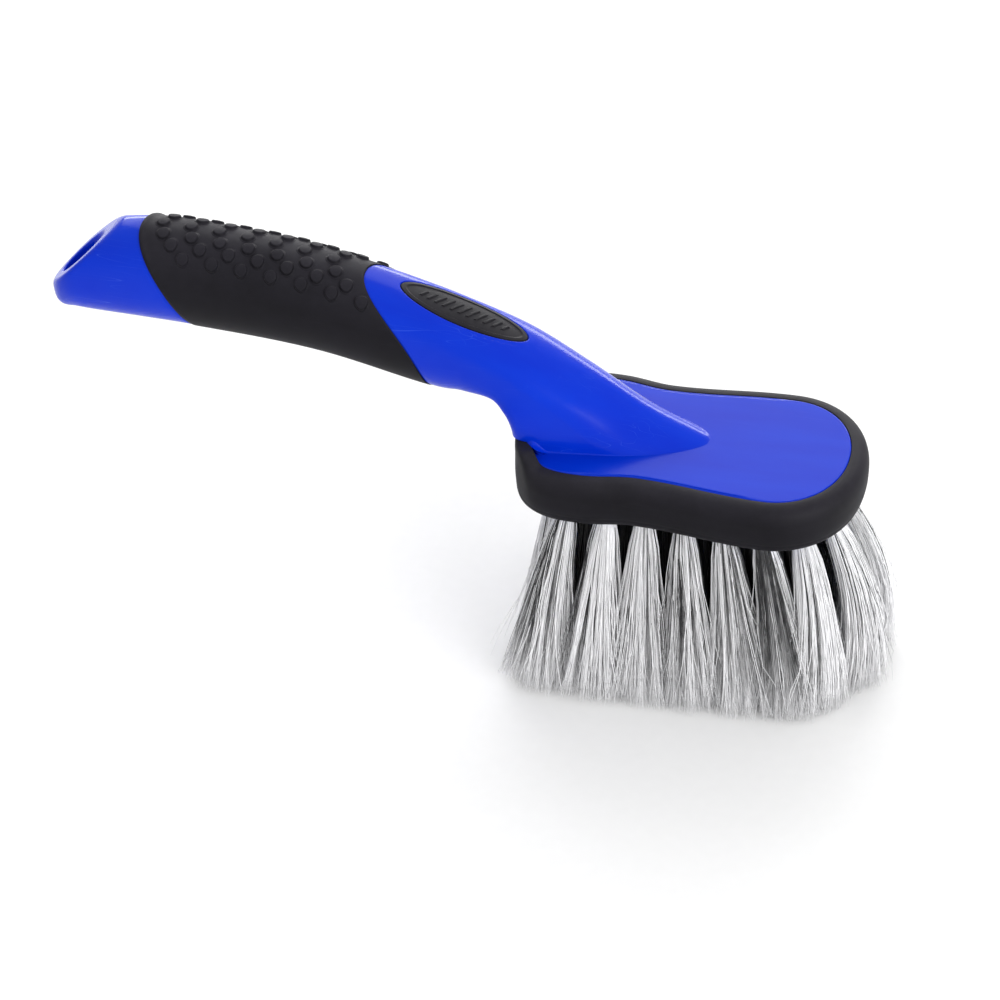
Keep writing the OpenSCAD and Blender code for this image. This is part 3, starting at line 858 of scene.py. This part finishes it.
def grip_dot(row, col):
    """Low button that follows the sleeve: a polar grid whose height is a flat top, a rounded
    shoulder, a steep side and a small fillet into the sleeve."""
    s0 = DOT_FIRST + DOT_SHIFT[abs(row)] + DOT_PITCH * col
    w0 = np.sign(row) * math.sin(math.radians(DOT_ANGLE[abs(row)])) ** (2 / FRONT_POWER[0][1])
    out = np.linspace(0.25, 1.35, 4)
    profile = np.concatenate([
        np.column_stack([out, DOT_H + 0.28 - 0.05 * out ** 2]),
        arc((DOT_R - 0.62, DOT_H + 0.18 - 0.5), 0.5, 88, 12, 7),
        [[DOT_R - 0.06, 0.62], [DOT_R + 0.02, 0.45]],
        [[DOT_R + 0.12, 0.34], [DOT_R + 0.3, 0.285], [DOT_R + 0.55, 0.26], [DOT_R + 0.6, -0.3]]])
    a = np.arange(40) * 2 * np.pi / 40
    e = 1e-3
    along = (crown(s0 + e, w0) - crown(s0 - e, w0)) / (2 * e)
    across = (crown(s0, w0 + e) - crown(s0, w0 - e)) / (2 * e)
    one = along / np.linalg.norm(along)
    two = across - one * (across @ one)
    two /= np.linalg.norm(two)
    r, h = profile[:, :1], profile[:, 1:]
    p, q = r * np.cos(a), r * np.sin(a)
    dw = q / (across @ two)
    ds = (p - dw * (across @ one)) / np.linalg.norm(along)
    s, w = s0 + ds, w0 + dw
    return capped(crown(s, w) + crown_normal(s, w) * h[..., None])


dots = [grip_dot(row, col) for row in range(-3, 4) for col in range(DOT_COLS)]
make_piece("soft_grip", joined([grip_sleeve()] + dots), RUBBER, ["grip_sleeve"])


# ---------------------------------------------------------------- bumper
def bumper_section(top, wall_end, outer):
    """Section of the bumper as [out from the block, up from its underside]: up the inner wall,
    over a small top edge, along the outer path and round the lower edge."""
    return np.concatenate([
        [[0.0, 0.6]], np.column_stack([np.zeros(3), np.linspace(6, wall_end, 3)]),
        arc((0.35, top - 0.35), 0.35, 180, 90, 6), rounded_path(outer, 44),
        arc((0.45, 0.3), 0.3, 270, 180, 4)])


def bumper_shell():
    """Bumper: its section is carried round the outline. Behind the neck the section rises to
    the lip, and a shallow parting line runs along its lower part."""
    line, normal = head_outline(560)
    top = BLOCK_TOP - BLOCK_BOTTOM
    side = bumper_section(top, top - 1.6, [
        [0.5, top], [1.6, top - 0.02], [3.6, top - 0.6], [5.1, top - 2.2], [5.9, top - 4.8],
        [6.0, 9.5], [5.7, 5.5], [4.7, 2.0], [3.2, 0.3], [1.8, 0.0]])
    top += REAR_LIP
    rear = bumper_section(top, top - 1, [
        [0.5, top], [2.2, top], [3.9, top - 0.03], [4.6, top - 0.5], [4.9, top - 1.6],
        [5.0, 15], [5.2, 9.5], [5.1, 5.5], [4.7, 1.8], [3.3, 0.2], [1.8, 0.0]])
    k = cosine_ease(0, 1, (LIP_X - line[:, 0]) / LIP_RUN)[:, None, None]
    section = side * (1 - k) + rear * k
    parting_height, parting_width, parting_depth = 3.6, 0.28, 0.16
    groove = parting_depth * np.exp(-((section[..., 1] - parting_height) / parting_width) ** 2)
    reach = section[..., 0] - groove * (section[..., 0] > 2)
    plan = line[:, None, :] + normal[:, None, :] * reach[..., None]
    grid = np.concatenate([plan, (BLOCK_BOTTOM + section[..., 1])[..., None]], -1)
    return ring_shell(grid)


make_piece("soft_bumper", bumper_shell(), RUBBER, ["head_bumper"])


# ---------------------------------------------------------------- badge
BORDER_U, BORDER_V = 1.7, 1.4   # width of the raised border at the ends and at the sides
FIELD_DEPTH = 0.32
BAR_PITCH, BAR_HALF, BAR_SLANT, BAR_RISE = 2.9, 0.62, 0.55, 0.34
BARS_END, BARS_TAPER, BARS_LENGTH = 15.8, 17.5, 2.7   # ends of the row and its outline


def badge_relief(u, v):
    """Height of the badge over the handle's skin: a sunk field inside a plain raised border,
    with a plain running row of slanted bars."""
    share = np.hypot(u / BADGE_A, v / BADGE_B)
    inner = np.hypot(u / (BADGE_A - BORDER_U), v / (BADGE_B - BORDER_V))
    field = -FIELD_DEPTH * smooth_step((1 - inner) / 0.05)
    slant = u - BAR_SLANT * v
    near = slant - BAR_PITCH * np.round(slant / BAR_PITCH)
    length = BARS_LENGTH * np.sqrt(np.clip(1 - (u / BARS_TAPER) ** 2, 0, 1))
    bar = np.maximum(np.abs(near) - BAR_HALF, np.abs(v) - length)
    raised = BAR_RISE * smooth_step(-bar / 0.22) * (np.abs(u) < BARS_END)
    dome = -0.12 * share ** 8
    return 0.05 + field + raised + dome


def badge_shell():
    """Oval inlay: rings that shrink to its middle, a rounded edge and a side down into its
    seat."""
    count = 320
    share = np.linspace(0.006, 0.985, 118)[:, None]
    a = np.arange(count) * 2 * np.pi / count
    u, v = share * BADGE_A * np.cos(a), share * BADGE_B * np.sin(a)
    face = badge_surface(u, v, badge_relief(u, v))
    q = np.radians(np.linspace(0, 90, 6))
    side = oval_rows(np.concatenate([-0.32 + 0.2 * np.sin(q), [-0.12, -0.12]]),
                     np.concatenate([-0.09 - 0.2 * (1 - np.cos(q)), [-0.8, -1.4]]), count)
    return capped(np.concatenate([face, side]))


make_piece("oval_badge", badge_shell(), BADGE_RUBBER, ["badge_inlay"])


# ---------------------------------------------------------------- bristles
RNG = np.random.default_rng(41)
FILAMENT = 66.5                  # length of a filament outside its hole
IN_HOLE = 5.0                    # length of its stretch inside the hole
LOCK_SIZE = 5                    # filaments to a lock
STRAY_SHARE = 0.07               # filaments that leave their bundle
TIGHTER, WIDER = 0.82, 1.22      # tip spread away from the head's middle and aside
LIGHT = {"count": 1050, "rings": 9, "thick": 0.23, "tones": (0.93, 1.0)}
DARK = {"count": 380, "rings": 7, "thick": 0.32, "tones": (0.2, 0.7)}
DARK_TUFT_SHADED_LOCKS = 0.3            # share of locks darkened in a dark tuft, painted shade between its locks
SHADED_LOCKS_AT, SHADED_LOCKS_SHARE = (-10, 15, 32, 42), (0.28, 0.36, 0.68, 0.12)  # and along a light row, where the share also paints the row's lit and shaded stretches


def in_disc(count):
    """Places spread evenly over the unit disc: a radius of the root of an even draw."""
    share = np.sqrt(RNG.uniform(0, 1, count))
    turn = RNG.uniform(0, 2 * np.pi, count)
    return share[:, None] * np.stack([np.cos(turn), np.sin(turn)], -1)


def gathered_locks(count, shaded_locks):
    """Places of the filaments in the unit disc, where their tips go, how much each lock
    changes their tone, darker locks being painted shade between locks, and which filaments stray. A
    lock draws its filaments together."""
    plan = in_disc(count)
    locks = count // LOCK_SIZE
    middles = in_disc(locks)
    nearest = np.linalg.norm(plan[:, None, :] - middles[None], axis=2).argmin(1)
    # Darker locks are painted shade: dark streaks for the shadow between locks.
    lock_tone_and_shade = np.where(RNG.uniform(0, 1, locks) < shaded_locks, RNG.uniform(-1.6, -1.05, locks),
                         RNG.uniform(-0.05, 0.1, locks))[nearest]
    hold = RNG.uniform(0.45, 0.92, locks)[nearest][:, None]
    stray = RNG.uniform(0, 1, count)[:, None] < STRAY_SHARE
    lock_push = RNG.normal(0, 0.16, (locks, 2))[nearest]
    tip = plan * (1 - hold) + middles[nearest] * hold + lock_push
    tip = tip + RNG.normal(0, 0.05, (count, 2)) + stray * RNG.normal(0, 0.3, (count, 2))
    return plan, tip, lock_tone_and_shade, stray


def tip_spread(tuft, tip):
    """Tips in millimetres, drawn in along the way out from the head's middle line and spread
    along the way across it."""
    away = np.array([tuft[0] - np.clip(tuft[0], -30, 27), tuft[1]])
    away = away / np.linalg.norm(away) if np.any(away) else np.array([0.0, 1.0])
    aside = np.array([-away[1], away[0]])
    tip = tip * tuft[4]
    return (tip @ away)[:, None] * away * TIGHTER + (tip @ aside)[:, None] * aside * WIDER


def filament_paths(tuft, plan, tip, stray, rings):
    """Path of each filament. From its place in the hole it fans out at once, then spreads as
    the power 1.4 of its length towards its tip, leans with the tuft and droops. It waves a
    little, bends, and splits from its neighbours near the tip. It ends at the trimmed length."""
    count = len(plan)
    down = hole_frame(tuft)[2]
    lean = np.array([math.tan(math.radians(tuft[2])), math.tan(math.radians(tuft[3]))])
    root = np.array([tuft[0], tuft[1]])
    end = root + lean * BLOCK_BOTTOM + tip
    reach = np.linalg.norm(end - root - plan * HOLE_R, axis=1)
    over = RNG.uniform(0, 1, count) ** 2
    trim = over * 2.4 + stray[:, 0] * RNG.uniform(0, 6, count)
    fall = np.sqrt(np.maximum(FILAMENT ** 2 - reach ** 2, 30.0 ** 2))
    drop = np.minimum(BLOCK_BOTTOM, fall) - trim
    t = (np.linspace(0, 1, rings) ** 0.9)[None, :, None]
    fan = 1 - np.exp(-t / 0.05)
    spread = (plan[:, None, :] * (HOLE_R - 0.25 + 1.45 * fan)
              + (tip[:, None, :] - plan[:, None, :] * 4.2) * t ** 1.4)
    droop = tuft[5]
    lean_part = lean * BLOCK_BOTTOM * ((1 + droop) * t - droop * t * t)
    wave_turn = RNG.uniform(0, 2 * np.pi, (count, 1, 2))
    wave = (np.sin(t * RNG.uniform(6, 17, (count, 1, 1)) + wave_turn)
            * RNG.uniform(0.1, 0.5, (count, 1, 1)) * t * (1 + 2.2 * stray[:, :, None]))
    bend = RNG.normal(0, 0.8, (count, 1, 2)) * t * (1 - t) * 2
    split = RNG.normal(0, 0.9, (count, 1, 2)) * t ** 7
    flat = root + spread + lean_part + wave + bend + split
    path = np.concatenate([flat, BLOCK_BOTTOM - drop[:, None, None] * t], -1)
    mouth = np.concatenate([root + plan * (HOLE_R - 0.3), np.full((count, 1), BLOCK_BOTTOM)], 1)
    return np.concatenate([(mouth - down * IN_HOLE)[:, None, :], path], 1)


def filament_tubes(path, thick):
    """Three-sided tubes round the paths, thinner at the tip, with closed ends. All of them
    have one order of corners, so the first ones tell whether the faces point outwards."""
    count, rings = path.shape[:2]
    heading = np.gradient(path, axis=1)
    heading /= np.linalg.norm(heading, axis=2, keepdims=True)
    side = np.cross(heading, np.array([0.3, 0.9, 0.1]))
    side /= np.linalg.norm(side, axis=2, keepdims=True)
    other = np.cross(heading, side)
    taper = np.interp(np.linspace(0, 1, rings), [0, 0.75, 1], [1, 1, 0.45])[None, :, None, None]
    radius = (thick / 2 * RNG.uniform(0.8, 1.2, count))[:, None, None, None] * taper
    a = np.arange(3) * 2 * np.pi / 3
    ring = (side[:, :, None, :] * np.cos(a)[:, None] + other[:, :, None, :] * np.sin(a)[:, None])
    tube = path[:, :, None, :] + ring * radius
    tube[..., 2] = np.maximum(tube[..., 2], 0.02)
    points = tube.reshape(-1, 3)
    first = np.arange(count)[:, None, None] * (3 * rings)
    quads = (first + grid_faces(rings, 3)[None]).reshape(-1, 4)
    last = 3 * rings - 3
    ends = (first + np.array([[2, 1, 0], [last, last + 1, last + 2]])[None]).reshape(-1, 3)
    seen = quads[:500]
    p, q, r = points[seen[:, 0]], points[seen[:, 1]], points[seen[:, 2]]
    middle = path.reshape(-1, 3)[seen[:, 0] // 3]
    if np.einsum("ij,ij->", np.cross(q - p, r - p), p - middle) < 0:
        quads, ends = quads[:, ::-1], ends[:, ::-1]
    return points, [quads, ends]


def tuft_shell(tuft, shaded_locks, count, rings, thick, tones):
    """Bundle of filaments and the tone of each point. The tone rises from the root to the tip,
    and a lock changes it less and less on the way, so the painted shade of darker locks fades
    towards the tips."""
    plan, tip, lock_tone_and_shade, stray = gathered_locks(count, shaded_locks)
    path = filament_paths(tuft, plan, tip_spread(tuft, tip), stray, rings)
    shell = filament_tubes(path, thick)
    along = np.linspace(0, 1, path.shape[1])[None, :]
    tone = (tones[0] + (tones[1] - tones[0]) * along ** 0.8
            + 0.75 * lock_tone_and_shade[:, None] * (1 - 0.85 * along ** 3)
            + RNG.normal(0, 0.1, (count, 1)))
    return shell, np.repeat(np.clip(tone, 0, 1)[:, :, None], 3, axis=2).ravel()


for number, tuft in enumerate(TUFTS):
    node = f"tuft_{number + 1:02d}"
    if number < LIGHT_TUFTS:
        shell, tones = tuft_shell(tuft, np.interp(tuft[0], SHADED_LOCKS_AT, SHADED_LOCKS_SHARE), **LIGHT)
        make_piece("light_" + node, shell, LIGHT_BRISTLE, [node], tones)
    else:
        shell, tones = tuft_shell(tuft, DARK_TUFT_SHADED_LOCKS, **DARK)
        make_piece("dark_" + node, shell, DARK_BRISTLE, [node], tones)

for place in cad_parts["tuft_anchors"].material_slots:
    place.material = WIRE


# ---------------------------------------------------------------- studio
def studio_floor():
    """Pale sweep: flat under the brush and rising far behind it."""
    mesh = bpy.data.meshes.new("floor")
    y = np.concatenate([[-6.0], np.linspace(-2, 2.2, 3), 2.2 + 1.5 * np.sin(
        np.radians(np.linspace(10, 90, 9))), [3.7]])
    z = np.concatenate([np.zeros(4), 1.5 * (1 - np.cos(np.radians(np.linspace(10, 90, 9)))),
                        [6.0]])
    points = np.array([[x, b, c] for b, c in zip(y, z) for x in (-8.0, 8.0)])
    faces = [[2 * i, 2 * i + 1, 2 * i + 3, 2 * i + 2] for i in range(len(y) - 1)]
    mesh.from_pydata(points.tolist(), [], faces)
    mesh.shade_smooth()
    made, net, shader = new_material("pale_floor")
    paper = net.noise(net.place((1, 1, 1)), 220.0, 3.0, 0.5)
    net.put(shader.inputs["Base Color"], net.mix(paper, (0.9, 0.9, 0.9, 1), (0.93, 0.93, 0.93, 1)))
    shader.inputs["Roughness"].default_value = 0.9
    shader.inputs["Specular IOR Level"].default_value = 0.1
    mesh.materials.append(made)
    floor = bpy.data.objects.new("floor", mesh)
    bpy.context.scene.collection.objects.link(floor)


def area_light(name, place, aim, size, power):
    """White rectangular light at a place, turned to its aim, in metres and watts."""
    data = bpy.data.lights.new(name, "AREA")
    data.shape = "RECTANGLE"
    data.size, data.size_y = size
    data.energy = power
    lamp = bpy.data.objects.new(name, data)
    lamp.location = place
    lamp.rotation_mode = "QUATERNION"
    lamp.rotation_quaternion = (Vector(aim) - Vector(place)).to_track_quat("-Z", "Y")
    bpy.context.scene.collection.objects.link(lamp)


VIEW_AZIMUTH, VIEW_ELEVATION, VIEW_ROLL = 17.524, 37.310, -2.844   # degrees
VIEW_TARGET, VIEW_DISTANCE, LENS = (-0.05066, -0.04632, 0.082), 0.9, 101.15


def camera():
    """Camera that looks at the target from the given azimuth and elevation, with a roll."""
    azimuth, elevation, roll = np.radians((VIEW_AZIMUTH, VIEW_ELEVATION, VIEW_ROLL)).tolist()
    target = Vector(VIEW_TARGET)
    back = Vector((math.sin(azimuth) * math.cos(elevation),
                   -math.cos(azimuth) * math.cos(elevation), math.sin(elevation)))
    right = Vector((math.cos(azimuth), math.sin(azimuth), 0))
    up = back.cross(right)
    c, s = math.cos(roll), math.sin(roll)
    right, up = right * c + up * s, up * c - right * s
    data = bpy.data.cameras.new("camera")
    data.lens, data.sensor_width = LENS, 36
    data.clip_start, data.clip_end = 0.05, 30
    seen = bpy.data.objects.new("camera", data)
    place = Matrix((right, up, back)).transposed().to_4x4()
    place.translation = target + back * VIEW_DISTANCE
    seen.matrix_world = place
    bpy.context.scene.collection.objects.link(seen)
    bpy.context.scene.camera = seen


def studio_world():
    """Pale surroundings, brighter above and behind than on the camera's side."""
    world = bpy.data.worlds.new("studio")
    world.use_nodes = True
    world.node_tree.nodes.clear()
    net = Net(world.node_tree)
    way = net.node("SeparateXYZ", None, Vector=net.node("TexCoord").outputs["Generated"])
    behind = net.span(way.outputs[1], -0.7, 0.7)
    colour = net.mix(behind, (0.85, 0.85, 0.85, 1), (1.0, 1.0, 1.0, 1))
    light = net.node("Background", None, Color=colour)
    light.inputs["Strength"].default_value = 0.98
    net.node("OutputWorld", None, Surface=light.outputs[0])
    bpy.context.scene.world = world


studio_floor()
camera()
studio_world()
area_light("rear_light", (-0.4, 1.3, 1.15), (0, 0, 0.08), (1.6, 1.1), 11)
area_light("low_light", (-0.3, 1.6, 0.42), (0, 0, 0.08), (1.8, 0.3), 14)
area_light("side_light", (1.2, -0.8, 0.4), (0, 0, 0.04), (1.2, 0.9), 15)
bpy.context.scene.view_settings.view_transform = "Standard"
